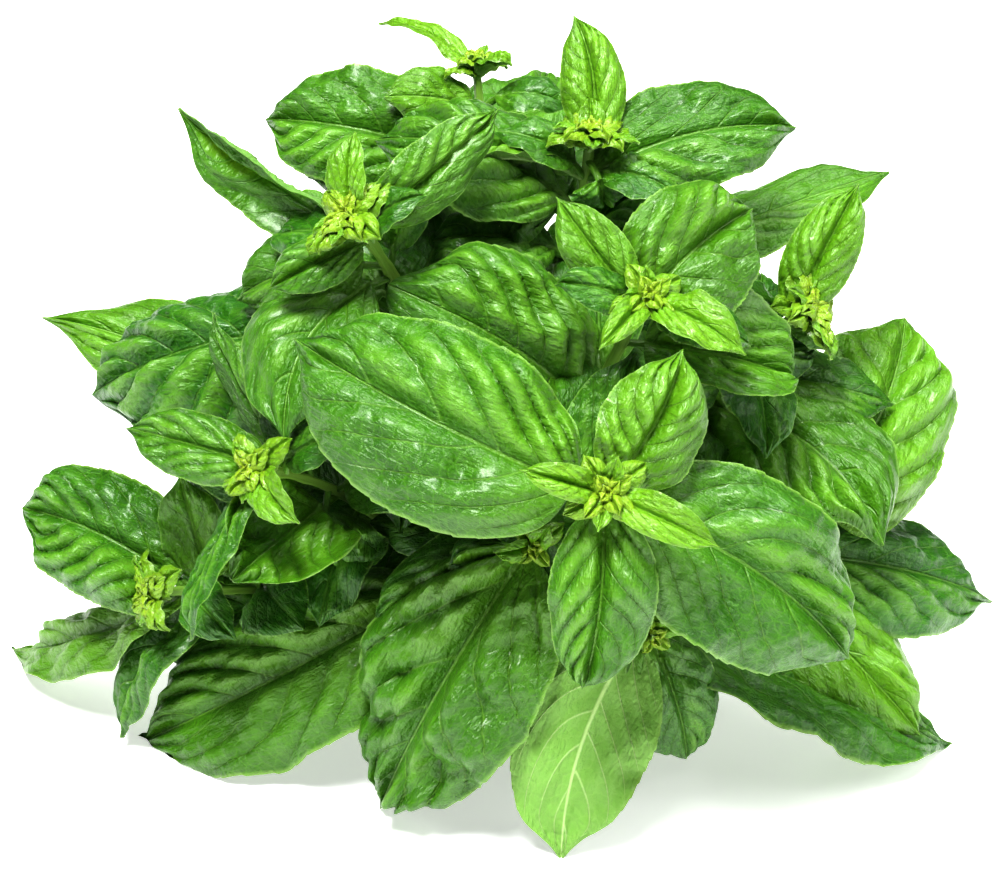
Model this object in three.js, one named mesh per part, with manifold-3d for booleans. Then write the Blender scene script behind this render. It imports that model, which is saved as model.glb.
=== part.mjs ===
// A bunch of fresh basil, lying on a surface: eleven cut stems, each ending in a growing tip of young
// leaves, and the full-grown leaves that sit along them. The stems lie together at the back, pass
// through a narrow neck and fan out forwards and upwards into a dome of leaves.
//
// Millimetres, +Z up. The bunch rests on z = 0 with the middle of its footprint at x = y = 0, the
// leafy head towards -Y and the cut ends towards +Y.
import * as THREE from 'three';
import { mergeVertices } from 'three/addons/utils/BufferGeometryUtils.js';
import Module from 'manifold-3d';

// ---------------------------------------------------------------- driving dimensions (mm, degrees)
const HEAD_CENTRE = [1.5, -29.25, 80];  // middle of the leafy dome
const HEAD_LEAN = 28;                  // how far the face of the dome leans back
const NECK_BEHIND = 78;                // from the middle of the dome back to the neck
const CUT_BEHIND = 150;                // from the middle of the dome back to the cut ends
const STEM_SIDE = 3;                   // basil stems are square
const STEM_PITCH = 4.4;                // spacing of the stems across the bundle at the neck
const STEM_RISE = 3.96;                // spacing of the rows of stems
const BUNDLE_SPREAD = 1.25;            // how much wider the bundle is at the cut ends
const STALK_RADIUS = 0.9;              // leaf stalk
const BLADE_THICKNESS = 0.9;           // leaf blade, plump enough to be a solid
const WIDEST_AT = 0.42;                // how far along the blade it is widest
const GAP = 0.35;                      // left between pieces that would touch
const CURVE_STEPS = 64;

// Each stem: its growing tip and the way it points, as [right, up the face, out of the face] from the
// middle of the dome; its place in the bundle, as [column, row]; and its young leaves, each as
// [turn about the stem, opening from the stem, length, width].
const STEMS = {
  centre: { tip: [24, -13, 84], towards: [0.1, 0.05, 1], slot: [0.5, 1], young: [[-26, 76, 29, 11], [166, 72, 22, 9], [75, 45, 12, 6], [255, 50, 12, 6]] },
  upper: { tip: [34, 32, 64], towards: [0.2, 0.35, 0.9], slot: [0.5, 2], young: [[-35, 72, 28, 14], [232, 70, 22, 8], [100, 40, 10, 5], [190, 45, 9, 5]] },
  upper_left: { tip: [-35, 51, 50], towards: [-0.45, 0.45, 0.75], slot: [-1.5, 2], young: [[75, 62, 22, 12], [200, 60, 11, 6], [300, 66, 12, 6], [250, 50, 12, 6]] },
  top: { tip: [22, 72, 28], towards: [0.1, 0.85, 0.5], slot: [0, 3], young: [[100, 35, 12, 7], [200, 60, 12, 6], [335, 66, 14, 7], [270, 60, 12, 6]] },
  crown: { tip: [-6, 93, -12], towards: [-0.1, 0.9, 0.3], slot: [-1, 3], young: [[143, 68, 33, 10], [-40, 70, 13, 9], [60, 40, 10, 5]] },
  left: { tip: [-58, -8, 42], towards: [-0.6, 0.05, 0.8], slot: [-1.5, 1], young: [[-40, 75, 22, 12], [120, 50, 10, 5], [250, 60, 10, 5]] },
  low_left: { tip: [-85, -39, 5], towards: [-0.9, -0.1, 0.5], slot: [-2, 0], young: [[120, 60, 12, 6], [240, 66, 12, 6], [30, 60, 10, 5]] },
  upper_right: { tip: [74, 30, 18], towards: [0.75, 0.4, 0.5], slot: [1.5, 2], young: [[-60, 70, 15, 9], [190, 60, 14, 7], [100, 36, 13, 6]] },
  right: { tip: [77, -30, 6], towards: [0.9, -0.1, 0.5], slot: [1.5, 1], young: [[60, 50, 10, 5], [240, 50, 10, 5]] },
  low_front: { tip: [8, -26, 46], towards: [-0.1, -0.35, 0.9], slot: [-0.5, 1], young: [[60, 50, 12, 6], [180, 50, 12, 6]] },
  low_right: { tip: [36, -47, 36], towards: [0.35, -0.5, 0.8], slot: [0.5, 0], young: [[30, 60, 12, 6], [150, 60, 12, 6]] },
};

// Each leaf: the stem it grows on, how far below the growing tip, where its own tip is, its width, the
// way its upper side faces, how high the midrib arches, how far the midrib bows sideways, the fold
// along the midrib in degrees, the droop of the edges, the length of its stalk and how blunt it ends.
const LEAVES = {
  centre_left: { stem: 'centre', below: 12, tip: [-48.5, 23, 56], width: 49, face: [-0.15, 0.2, 1], arch: 9, sway: 3, fold: 28, droop: 0.55, stalk: 6, blunt: 0.62 },
  centre_right: { stem: 'centre', below: 14, tip: [83, -53, 46], width: 46, face: [0.15, 0.1, 1], arch: 9, sway: 4, fold: 28, droop: 0.55, stalk: 8, blunt: 0.5 },
  centre_up: { stem: 'centre', below: 7, tip: [42, 20, 76], width: 28, face: [0.1, -0.35, 1], arch: 3, sway: -2, fold: 30, stalk: 3, blunt: 0.75 },
  centre_down: { stem: 'centre', below: 7, tip: [19, -59, 64], width: 28, face: [-0.05, 0.25, 1], arch: 6, sway: 2.5, fold: 34, droop: 0.65, stalk: 3, blunt: 0.7 },
  upper_slim: { stem: 'upper', below: 6, tip: [13, 56, 58], width: 17, face: [-0.2, 0, 1], arch: 2, fold: 36, stalk: 3, blunt: 0.85 },
  upper_broad: { stem: 'upper', below: 9, tip: [60, 54, 46], width: 37, face: [0.05, 0.1, 1], arch: 3, sway: 2, fold: 36, droop: 0.55, stalk: 3, blunt: 0.5 },
  upper_cup: { stem: 'upper', below: 24, tip: [71, 14, 32], width: 30, face: [0, 0.35, 1], arch: 5, fold: 38, droop: -0.1, stalk: 5, blunt: 0.6 },
  upper_dome: { stem: 'upper', below: 60, tip: [-26.8, 36.1, 40], width: 50, face: [-0.1, 0.3, 1], arch: 15, fold: 26, droop: 0.7, stalk: 8, blunt: 0.3 },
  curl_left: { stem: 'upper_left', below: 12, tip: [-78, 79, 30], width: 21, face: [0.45, -0.75, 0.45], arch: -5, sway: 7, fold: 48, droop: 0.45, stalk: 4, blunt: 0.6 },
  lance: { stem: 'upper_left', below: 4, tip: [0, 78, 44], width: 19, face: [0.15, -0.4, 1], arch: 3, fold: 30, droop: 0.45, stalk: 3, blunt: 0.8 },
  small_dark: { stem: 'upper_left', below: 9, tip: [-55, 35, 44], width: 15, face: [0.3, 0.4, 1], arch: 2, fold: 37, stalk: 2, blunt: 0.7 },
  hanging: { stem: 'upper_left', below: 24, tip: [-51.2, -1.9, 46], width: 36, face: [-0.3, 0.35, 1], arch: 6, sway: -7, fold: 20, droop: 0.5, stalk: 5, blunt: 0.9 },
  hanging_side: { stem: 'upper_left', below: 20, tip: [-64.5, 33.2, 20], width: 25, face: [-0.5, 0.2, 1], arch: 6, sway: -2, fold: 26, droop: 0.55, stalk: 5, blunt: 0.6 },
  left_big: { stem: 'upper_left', below: 48, tip: [-102.5, 10.3, -4], width: 54, face: [-0.3, 0.5, 1], arch: 14, sway: -1, fold: 34, droop: 1.15, stalk: 18, blunt: 0.4 },
  upright: { stem: 'top', below: 5, tip: [18, 103, 20], width: 17, face: [0.05, -0.1, 1], arch: 2, sway: -3, fold: 26, stalk: 3, blunt: 0.75 },
  top_right: { stem: 'top', below: 11, tip: [73, 76, 14], width: 32, face: [0.1, 0.35, 1], arch: 5, sway: 3, fold: 30, droop: 0.55, stalk: 3, blunt: 0.6 },
  top_edge: { stem: 'top', below: 11, tip: [-6, 66, 34], width: 14, face: [0, 1, -0.25], arch: 3, fold: 32, stalk: 3, blunt: 0.7 },
  top_left: { stem: 'top', below: 20, tip: [-31, 73, 12], width: 36, face: [-0.1, 0.6, 0.8], arch: 10, fold: 26, droop: 0.55, stalk: 5, blunt: 0.6 },
  top_far: { stem: 'top', below: 48, tip: [100, 68, -24], width: 30, face: [0.1, 0.8, 0.6], arch: 2, sway: 1, fold: 32, droop: 0.55, stalk: 24, blunt: 0.6 },
  crown_low: { stem: 'crown', below: 11, tip: [-29, 85, -2], width: 20, face: [-0.1, 0.4, 1], arch: 3, fold: 28, stalk: 3, blunt: 0.5 },
  crown_curl: { stem: 'crown', below: 26, tip: [-60, 81, -20], width: 37, face: [-0.3, 0.3, 1], arch: 10, fold: 36, droop: 0.5, stalk: 14, blunt: 0.5 },
  left_veined: { stem: 'left', below: 7, tip: [-91, 2, 26], width: 19, face: [-0.1, 0.3, 1], arch: 3, fold: 32, droop: 0.55, stalk: 3, blunt: 0.7 },
  left_tall: { stem: 'left', below: 18, tip: [-70, 30, 26], width: 16, face: [-0.75, -0.1, 0.6], arch: 3, fold: 34, stalk: 4, blunt: 0.7 },
  left_back: { stem: 'left', below: 70, tip: [-119, 31, -34], width: 36, face: [-0.1, 0.4, 1], arch: 6, sway: -9, fold: 26, stalk: 20, blunt: 0.8 },
  round_left: { stem: 'low_left', below: 8, tip: [-121.1, -18.2, -12], width: 34, face: [-0.2, 0.15, 1], arch: 4, sway: -3, fold: 26, droop: 0.45, stalk: 3, blunt: 0.3 },
  floor_left: { stem: 'low_left', below: 12, tip: [-131, -57, -64], width: 23, face: [0, 0.6, 0.8], arch: 2, sway: 8, fold: 26, stalk: 3, blunt: 0.9 },
  low_left_vein: { stem: 'low_left', below: 16, tip: [-79, -10, 12], width: 21, face: [-0.2, 0, 1], arch: 2, fold: 36, stalk: 4, blunt: 0.6 },
  low_left_blade: { stem: 'low_left', below: 20, tip: [-97, -77, -18], width: 31, face: [-0.45, 0.6, 0.6], arch: 4, sway: -3, fold: 45, stalk: 4, blunt: 0.7 },
  low_left_tall: { stem: 'left', below: 9, tip: [-74.9, -49.3, 30], width: 17, face: [-0.9, -0.1, 0.35], arch: 5, fold: 36, stalk: 4, blunt: 0.7 },
  front_left: { stem: 'low_front', below: 30, tip: [-93, -79, -26], width: 46, face: [-0.2, 0.5, 1], arch: 7, sway: 7, fold: 28, droop: 0.55, stalk: 34, blunt: 0.6 },
  front: { stem: 'low_front', below: 4, tip: [-30, -93, 5], width: 51, face: [-0.1, 0.35, 1], arch: 12, sway: 1.5, fold: 28, droop: 0.55, stalk: 3, blunt: 0.72 },
  front_curl: { stem: 'left', below: 36, tip: [-64.3, -34.6, 36], width: 34, face: [0, 0.15, 1], arch: 2, fold: 36, droop: 0.2, stalk: 8, blunt: 0.4 },
  front_inner: { stem: 'low_front', below: 16, tip: [-31, -46, 26], width: 22, face: [0, 0.3, 1], arch: 3, fold: 26, stalk: 6, blunt: 0.6 },
  front_pale: { stem: 'low_right', below: 4, tip: [15, -103, 22], width: 34, face: [0, 0.1, -1], arch: -5, sway: 5, fold: -10, droop: -0.1, stalk: 4, blunt: 0.65 },
  front_dark: { stem: 'low_right', below: 4, tip: [46, -80, 10], width: 26, face: [0.2, 0.3, 1], arch: 5, fold: 36, droop: 0.55, stalk: 3, blunt: 0.5 },
  right_under: { stem: 'low_right', below: 18, tip: [116, -79, -22], width: 38, face: [0, 0.8, 0.6], arch: 2, sway: -5, fold: 20, droop: 0.45, stalk: 6, blunt: 0.6 },
  right_round: { stem: 'right', below: 8, tip: [104.2, 30.4, -26], width: 42, face: [0.2, 0.2, 1], arch: 7, sway: -5, fold: 22, droop: 0.5, stalk: 14, blunt: 0.32 },
  right_point: { stem: 'right', below: 8, tip: [128, -43, -34], width: 38, face: [0.1, 0.5, 1], arch: 6, sway: 0, fold: 26, droop: 0.55, stalk: 4, blunt: 1.1 },
  right_floor: { stem: 'right', below: 22, tip: [105.7, -75.2, -6], width: 34, face: [0, 0.5, 1], arch: 8, sway: -1, fold: 34, droop: 0.8, stalk: 10, blunt: 0.5 },
  right_upright: { stem: 'upper_right', below: 5, tip: [88, 62, 18], width: 19, face: [-0.15, -0.2, 1], arch: 2, fold: 32, stalk: 3, blunt: 0.75 },
  right_mid: { stem: 'upper_right', below: 50, tip: [93.7, -26.6, 22], width: 44, face: [0.3, 0.4, 1], arch: 10, sway: 8, fold: 28, droop: 0.55, stalk: 8, blunt: 0.6 },
  back_crown: { stem: 'crown', below: 40, tip: [14, 98, -74], width: 38, face: [0, 1.02, 0.2], arch: 9, fold: 26, droop: 0.55, stalk: 8, blunt: 0.6 },
  back_crown_left: { stem: 'crown', below: 62, tip: [-62, 60, -79], width: 40, face: [-0.3, 1.16, -0.06], arch: 9, fold: 26, droop: 0.55, stalk: 10, blunt: 0.6 },
  back_crown_right: { stem: 'crown', below: 74, tip: [60, 53, -92], width: 40, face: [0.3, 1.16, -0.06], arch: 9, fold: 26, droop: 0.55, stalk: 10, blunt: 0.6 },
  back_left: { stem: 'low_left', below: 92, tip: [-92, -27, -89], width: 38, face: [-0.4, 0.98, 0.29], arch: 10, fold: 26, droop: 0.55, stalk: 14, blunt: 0.6 },
  back_right: { stem: 'right', below: 90, tip: [96, -26, -95], width: 38, face: [0.4, 0.98, 0.29], arch: 10, fold: 26, droop: 0.55, stalk: 14, blunt: 0.6 },
  back_low: { stem: 'top', below: 128, tip: [-34, 27, -135], width: 34, face: [0, 0.98, 0.29], arch: 9, fold: 26, droop: 0.55, stalk: 8, blunt: 0.6 },
};

// ---------------------------------------------------------------- small helpers
const vec = (a) => new THREE.Vector3(...a);
const mix = (a, b, t) => a + (b - a) * t;
const smooth = (lo, hi, x) => THREE.MathUtils.smoothstep(x, lo, hi);
const rad = THREE.MathUtils.degToRad;

// The dome's own directions: right, up its face, and out of its face.
const RIGHT = vec([1, 0, 0]);
const UP = vec([0, Math.sin(rad(HEAD_LEAN)), Math.cos(rad(HEAD_LEAN))]);
const OUT = vec([0, -Math.cos(rad(HEAD_LEAN)), Math.sin(rad(HEAD_LEAN))]);
const way = ([r, u, o]) =>
  new THREE.Vector3().addScaledVector(RIGHT, r).addScaledVector(UP, u).addScaledVector(OUT, o);
const spot = (p) => way(p).add(vec(HEAD_CENTRE));

// ---------------------------------------------------------------- stems
// The line of a stem from its cut end to its growing tip: straight through the bundle to the neck,
// then one smooth bend. It never sinks below its own half thickness.
function stemLine({ tip, towards, slot: [column, row] }) {
  const [hx, hy] = HEAD_CENTRE;
  const rest = STEM_SIDE / 2 + row * STEM_RISE;
  const neck = new THREE.Vector3(hx + column * STEM_PITCH, hy + NECK_BEHIND, rest);
  const cut = new THREE.Vector3(hx + column * STEM_PITCH * BUNDLE_SPREAD, hy + CUT_BEHIND, rest);
  const apex = spot(tip);
  const reach = 0.35 * apex.distanceTo(neck);
  const start = neck.clone().add(vec([column * 0.1, -1, row * 0.12]).multiplyScalar(reach));
  const end = apex.clone().addScaledVector(way(towards).normalize(), -reach);
  const bend = new THREE.CubicBezierCurve3(neck, start, end, apex);
  const line = [];
  for (let i = 0; i < 11; i++) line.push(cut.clone().lerp(neck, i / 11));
  for (let i = 0; i < CURVE_STEPS; i++) line.push(bend.getPoint(i / (CURVE_STEPS - 1)));
  for (const p of line) p.z = Math.max(p.z, STEM_SIDE / 2);
  return line;
}

// The point of a line a given distance before its end.
function beforeEnd(line, distance) {
  let left = distance;
  for (let i = line.length - 1; i > 0; i--) {
    const step = line[i].distanceTo(line[i - 1]);
    if (left <= step) return line[i].clone().lerp(line[i - 1], left / step);
    left -= step;
  }
  return line[0].clone();
}

// A square bar along the line, flat side down.
function stemSolid(line, grow = 0) {
  const half = STEM_SIDE / 2 + grow;
  const rings = line.filter((_, i) => i === 0 || i === 10 || (i > 10 && (line.length - 1 - i) % 4 === 0));
  const points = [];
  const faces = [];
  rings.forEach((p, i) => {
    const along = rings[Math.min(i + 1, rings.length - 1)].clone().sub(rings[Math.max(i - 1, 0)]).normalize();
    const across = along.clone().cross(vec([0, 0, 1])).normalize();
    const over = across.clone().cross(along).normalize();
    const centre = p.clone();
    if (i === 0) centre.addScaledVector(along, -grow);
    if (i === rings.length - 1) centre.addScaledVector(along, grow);
    for (const [a, b] of [[1, 1], [-1, 1], [-1, -1], [1, -1]]) {
      const q = centre.clone().addScaledVector(across, a * half).addScaledVector(over, b * half);
      if (grow === 0) q.z = Math.max(q.z, 0);
      points.push(q);
    }
  });
  for (let i = 0; i < rings.length - 1; i++)
    for (let j = 0; j < 4; j++) {
      const [a, b] = [i * 4 + j, i * 4 + ((j + 1) % 4)];
      faces.push([a, a + 4, b], [b, a + 4, b + 4]);
    }
  const last = (rings.length - 1) * 4;
  faces.push([0, 1, 2], [0, 2, 3], [last, last + 2, last + 1], [last, last + 3, last + 2]);
  return { points, faces };
}

// ---------------------------------------------------------------- leaves
// Half the width of a blade at a share s of its length, 1 where it is widest. A small blunt number
// gives a round end, 1 a straight taper.
function outline(s, blunt) {
  if (s <= 0 || s >= 1) return 0;
  const rise = (blunt * WIDEST_AT) / (1 - WIDEST_AT);
  return (s / WIDEST_AT) ** rise * ((1 - s) / (1 - WIDEST_AT)) ** blunt;
}

// A leaf as a closed flattened tube: a round stalk that opens into a thin blade. The midrib runs from
// base to tip and arches towards the upper side; the blade lifts away from it in a shallow V and its
// edges droop again.
function leafSolid(leaf, base, tip, facing, stations, grow = 0) {
  const { width, arch = 0, sway = 0, fold = 30, droop = 0.55, stalk = 0, blunt } = leaf;
  const chord = tip.clone().sub(base);
  const length = chord.length();
  const ahead = chord.clone().divideScalar(length);
  const face = facing.clone().addScaledVector(ahead, -facing.dot(ahead)).normalize();
  const side = face.clone().cross(ahead);
  const midrib = (s) => {
    const bow = 4 * s * (1 - s);
    return base.clone().addScaledVector(chord, s).addScaledVector(face, bow * arch).addScaledVector(side, bow * sway);
  };
  const bare = stalk / length;
  const shares = [0, ...stations.map((t) => bare + (1 - bare) * t)];
  const ring = [[1, 0], [0.5, 1], [0, 1], [-0.5, 1], [-1, 0], [-0.5, -1], [0, -1], [0.5, -1]];
  const points = [];
  const faces = [];
  for (const s of shares) {
    const on = (s - bare) / (1 - bare);
    const middle = midrib(s);
    const along = midrib(s + 1e-3).sub(middle).normalize();
    const across = side.clone().addScaledVector(along, -side.dot(along)).normalize();
    const over = along.clone().cross(across);
    const half = grow + Math.max((width / 2) * outline(on, blunt), STALK_RADIUS * (1 - 0.75 * smooth(0.5, 1, s)));
    const open = smooth(0, 0.15, on);
    const thick = grow + mix(STALK_RADIUS, BLADE_THICKNESS / 2, smooth(0, 0.12, on));
    for (const [v, layer] of ring) {
      const lift = half * (Math.abs(v) * Math.sin(rad(fold)) - droop * v * v) * open;
      const out = half * v * (1 - 0.6 * (1 - Math.cos(rad(fold))) * open);
      const skin = thick * Math.sqrt(Math.max(0, 1 - v * v));
      const p = middle.clone().addScaledVector(across, out).addScaledVector(over, lift + layer * skin);
      // where a leaf meets the surface it lies flat on it
      if (grow === 0) p.z = Math.max(p.z, layer > 0 ? 2 * skin : 0);
      points.push(p);
    }
  }
  const end = midrib(1).addScaledVector(ahead, grow);
  if (grow === 0) end.z = Math.max(end.z, 0);
  points.push(end);
  const m = ring.length;
  for (let i = 0; i < shares.length - 1; i++)
    for (let j = 0; j < m; j++) {
      const [a, b] = [i * m + j, i * m + ((j + 1) % m)];
      faces.push([a, b, a + m], [b, b + m, a + m]);
    }
  const [last, point] = [(shares.length - 1) * m, points.length - 1];
  for (let j = 0; j < m; j++) faces.push([last + j, last + ((j + 1) % m), point]);
  for (let j = 1; j < m - 1; j++) faces.push([0, j + 1, j]);
  return { points, faces };
}
const FULL = [0, 0.12, 0.27, 0.43, 0.6, 0.77, 0.91];
const SMALL = [0.12, 0.4, 0.75];

// The young leaves of a growing tip stand round the end of the stem with their upper sides inwards.
function youngLeaves(stem, line, grow = 0) {
  const on = line[line.length - 1].clone().sub(line[line.length - 4]).normalize();
  const right = RIGHT.clone().addScaledVector(on, -RIGHT.dot(on)).normalize();
  const up = on.clone().cross(right);
  return stem.young.map(([turn, opening, length, width], i) => {
    const away = right.clone().multiplyScalar(Math.cos(rad(turn))).addScaledVector(up, Math.sin(rad(turn)));
    const base = line[line.length - 1].clone().addScaledVector(on, -1.2 - 0.5 * i);
    const tip = base.clone()
      .addScaledVector(on, length * Math.cos(rad(opening)))
      .addScaledVector(away, length * Math.sin(rad(opening)));
    return leafSolid({ width, arch: 0.12 * length, fold: 30, droop: 0.3, stalk: 1.5, blunt: 0.75 }, base, tip, on, SMALL, grow);
  });
}

// ---------------------------------------------------------------- joining and cutting
const wasm = await Module();
wasm.setup();

function solid({ points, faces }) {
  const geometry = new THREE.BufferGeometry();
  geometry.setFromPoints(points);
  geometry.setIndex(faces.flat());
  const merged = mergeVertices(geometry, 1e-3);
  const triVerts = [];
  const index = merged.index.array;
  for (let i = 0; i < index.length; i += 3) {
    const [a, b, c] = [index[i], index[i + 1], index[i + 2]];
    if (a !== b && b !== c && c !== a) triVerts.push(a, b, c);
  }
  return new wasm.Manifold(
    new wasm.Mesh({
      numProp: 3,
      vertProperties: new Float32Array(merged.attributes.position.array),
      triVerts: new Uint32Array(triVerts),
    }),
  );
}

const overlaps = (a, b) => {
  const [p, q] = [a.boundingBox(), b.boundingBox()];
  for (let k = 0; k < 3; k++) if (p.min[k] > q.max[k] || q.min[k] > p.max[k]) return false;
  return a.intersect(b).volume() > 1e-4;
};

// What is left of a solid clear of its neighbours: its largest piece.
function clearOf(piece, neighbours) {
  let left = piece;
  for (const other of neighbours) if (overlaps(left, other)) left = left.subtract(other);
  return left.decompose().reduce((a, b) => (a.volume() > b.volume() ? a : b));
}

// ---------------------------------------------------------------- the bunch
const colours = { stem: 0x7fae52, leaf: 0x3c8a2c, pale: 0x8fb766 };
const material = (color) => new THREE.MeshStandardMaterial({ color, roughness: 0.42, metalness: 0, side: THREE.DoubleSide });

const bunch = new THREE.Group();
bunch.name = 'basil_bunch';
function add(name, manifold, color) {
  const mesh = manifold.getMesh();
  const geometry = new THREE.BufferGeometry();
  geometry.setAttribute('position', new THREE.BufferAttribute(new Float32Array(mesh.vertProperties), 3));
  geometry.setIndex(new THREE.BufferAttribute(new Uint32Array(mesh.triVerts), 1));
  geometry.computeVertexNormals();
  const node = new THREE.Mesh(geometry, material(color));
  node.name = name;
  bunch.add(node);
}

const lines = {};
const taken = [];  // every finished piece, grown by the gap
for (const [name, stem] of Object.entries(STEMS)) {
  const line = (lines[name] = stemLine(stem));
  const whole = (grow) =>
    youngLeaves(stem, line, grow).map(solid).reduce((sum, leaf) => sum.add(leaf), solid(stemSolid(line, grow)));
  add('stem_' + name, clearOf(whole(0), taken), colours.stem);
  taken.push(whole(GAP).add(whole(0)));
}
for (const [name, leaf] of Object.entries(LEAVES)) {
  const base = beforeEnd(lines[leaf.stem], leaf.below);
  const shape = (grow) => solid(leafSolid(leaf, base, spot(leaf.tip), way(leaf.face).normalize(), FULL, grow));
  add(name, clearOf(shape(0), taken), name === 'front_pale' ? colours.pale : colours.leaf);
  taken.push(shape(GAP).add(shape(0)));
}

export default bunch;
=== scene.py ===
# %% [markdown]
# # A bunch of fresh basil
#
# A bunch of basil is a handful of cut stems. They lie together at one end, pass through a narrow
# neck, and fan out into a dome of leaves. Everything that is seen is one of four things: a square
# green stem, a broad glossy leaf, a tuft of young leaves at a growing tip, or the pale underside of a
# leaf that is turned over. So this lesson builds one good leaf and one good stem as functions, and
# then grows the whole bunch from two short tables of where they stand.
#
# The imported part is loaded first. It is the fixed frame that every piece is made around.

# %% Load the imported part
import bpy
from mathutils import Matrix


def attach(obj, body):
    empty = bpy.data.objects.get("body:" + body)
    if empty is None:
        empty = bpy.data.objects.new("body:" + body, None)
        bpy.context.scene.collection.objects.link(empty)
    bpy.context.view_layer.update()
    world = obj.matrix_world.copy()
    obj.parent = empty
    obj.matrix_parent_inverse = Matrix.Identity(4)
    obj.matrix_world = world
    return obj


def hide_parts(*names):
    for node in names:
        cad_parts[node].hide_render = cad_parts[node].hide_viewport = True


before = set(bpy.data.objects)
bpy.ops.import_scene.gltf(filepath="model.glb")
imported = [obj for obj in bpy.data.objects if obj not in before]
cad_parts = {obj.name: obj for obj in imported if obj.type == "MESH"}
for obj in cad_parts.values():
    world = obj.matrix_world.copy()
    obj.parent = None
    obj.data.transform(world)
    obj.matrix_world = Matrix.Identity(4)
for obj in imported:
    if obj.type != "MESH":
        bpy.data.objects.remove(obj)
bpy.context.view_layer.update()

import bpy
import numpy as np

print("nodes in the frame:", len(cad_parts))

# %% [markdown]
# ## Directions
#
# The bunch lies on its stems, so its leafy face leans back and looks up at whoever stands in front of
# it. It is far easier to say "this leaf points up the face and a little out of it" than to give three
# numbers along the floor, so every place below is given as right, up the face and out of the face,
# from the middle of the dome, in millimetres. Two small functions turn that into the frame's own axes.

# %% Places on the dome
HEAD_CENTRE = np.array([1.5, -29.25, 80.0])
HEAD_LEAN = np.radians(28)
RIGHT = np.array([1.0, 0.0, 0.0])
UP_FACE = np.array([0.0, np.sin(HEAD_LEAN), np.cos(HEAD_LEAN)])
OUT_OF_FACE = np.array([0.0, -np.cos(HEAD_LEAN), np.sin(HEAD_LEAN)])
MM = 0.001


def way(right_up_out):
    """A direction: so much to the right, so much up the face and so much out of it, added up."""
    return np.asarray(right_up_out, float) @ np.array([RIGHT, UP_FACE, OUT_OF_FACE])


def spot(right_up_out):
    """A place: the middle of the dome plus a direction."""
    return HEAD_CENTRE + way(right_up_out)


def unit(a):
    """Each row divided by its own length."""
    return a / np.linalg.norm(a, axis=-1, keepdims=True)


def mix(a, b, share):
    """a where share is 0, b where it is 1, and straight between them."""
    return a + (b - a) * share


def smooth(low, high, x):
    """0 below low, 1 above high, and an S between: 3 t squared minus 2 t cubed."""
    t = np.clip((x - low) / (high - low), 0, 1)
    return t * t * (3 - 2 * t)


def hump(x, width):
    """A bell: e to the minus of x over width, squared."""
    return np.exp(-((x / width) ** 2))


print("the top of the dome is near", np.round(spot((0, 100, 0))))

# %% [markdown]
# ## Where the stems run
#
# A real stem is stiff where it was cut and soft towards its tip, so it leaves the bundle straight and
# bends in one smooth sweep towards the light. A cubic Bezier curve does that with two handles: one
# along the bundle and one along the way the tip points. Eleven stems carry all the leaves.

# %% The stems' table
STEMS = {
    "centre": dict(tip=(24, -13, 84), towards=(.1, .05, 1), slot=(.5, 1),
        young=[(-26, 76, 29, 11), (166, 72, 22, 9), (75, 45, 12, 6), (255, 50, 12, 6)]),
    "upper": dict(tip=(34, 32, 64), towards=(.2, .35, .9), slot=(.5, 2),
        young=[(-35, 72, 28, 14), (232, 70, 22, 8), (100, 40, 10, 5), (190, 45, 9, 5)]),
    "upper_left": dict(tip=(-35, 51, 50), towards=(-.45, .45, .75), slot=(-1.5, 2),
        young=[(75, 62, 22, 12), (200, 60, 11, 6), (300, 66, 12, 6), (250, 50, 12, 6)]),
    "top": dict(tip=(22, 72, 28), towards=(.1, .85, .5), slot=(0, 3),
        young=[(100, 35, 12, 7), (200, 60, 12, 6), (335, 66, 14, 7), (270, 60, 12, 6)]),
    "crown": dict(tip=(-6, 93, -12), towards=(-.1, .9, .3), slot=(-1, 3),
        young=[(143, 68, 33, 10), (-40, 70, 13, 9), (60, 40, 10, 5)]),
    "left": dict(tip=(-58, -8, 42), towards=(-.6, .05, .8), slot=(-1.5, 1),
        young=[(-40, 75, 22, 12), (120, 50, 10, 5), (250, 60, 10, 5)]),
    "low_left": dict(tip=(-85, -39, 5), towards=(-.9, -.1, .5), slot=(-2, 0),
        young=[(120, 60, 12, 6), (240, 66, 12, 6), (30, 60, 10, 5)]),
    "upper_right": dict(tip=(74, 30, 18), towards=(.75, .4, .5), slot=(1.5, 2),
        young=[(-60, 70, 15, 9), (190, 60, 14, 7), (100, 36, 13, 6)]),
    "right": dict(tip=(77, -30, 6), towards=(.9, -.1, .5), slot=(1.5, 1),
        young=[(60, 50, 10, 5), (240, 50, 10, 5)]),
    "low_front": dict(tip=(8, -26, 46), towards=(-.1, -.35, .9), slot=(-.5, 1),
        young=[(60, 50, 12, 6), (180, 50, 12, 6)]),
    "low_right": dict(tip=(36, -47, 36), towards=(.35, -.5, .8), slot=(.5, 0),
        young=[(30, 60, 12, 6), (150, 60, 12, 6)]),
}

# %% The line of a stem
NECK_BEHIND, CUT_BEHIND = 78, 150
STEM_SIDE, STEM_PITCH, STEM_RISE, BUNDLE_SPREAD = 3, 4.4, 3.96, 1.25


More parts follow.
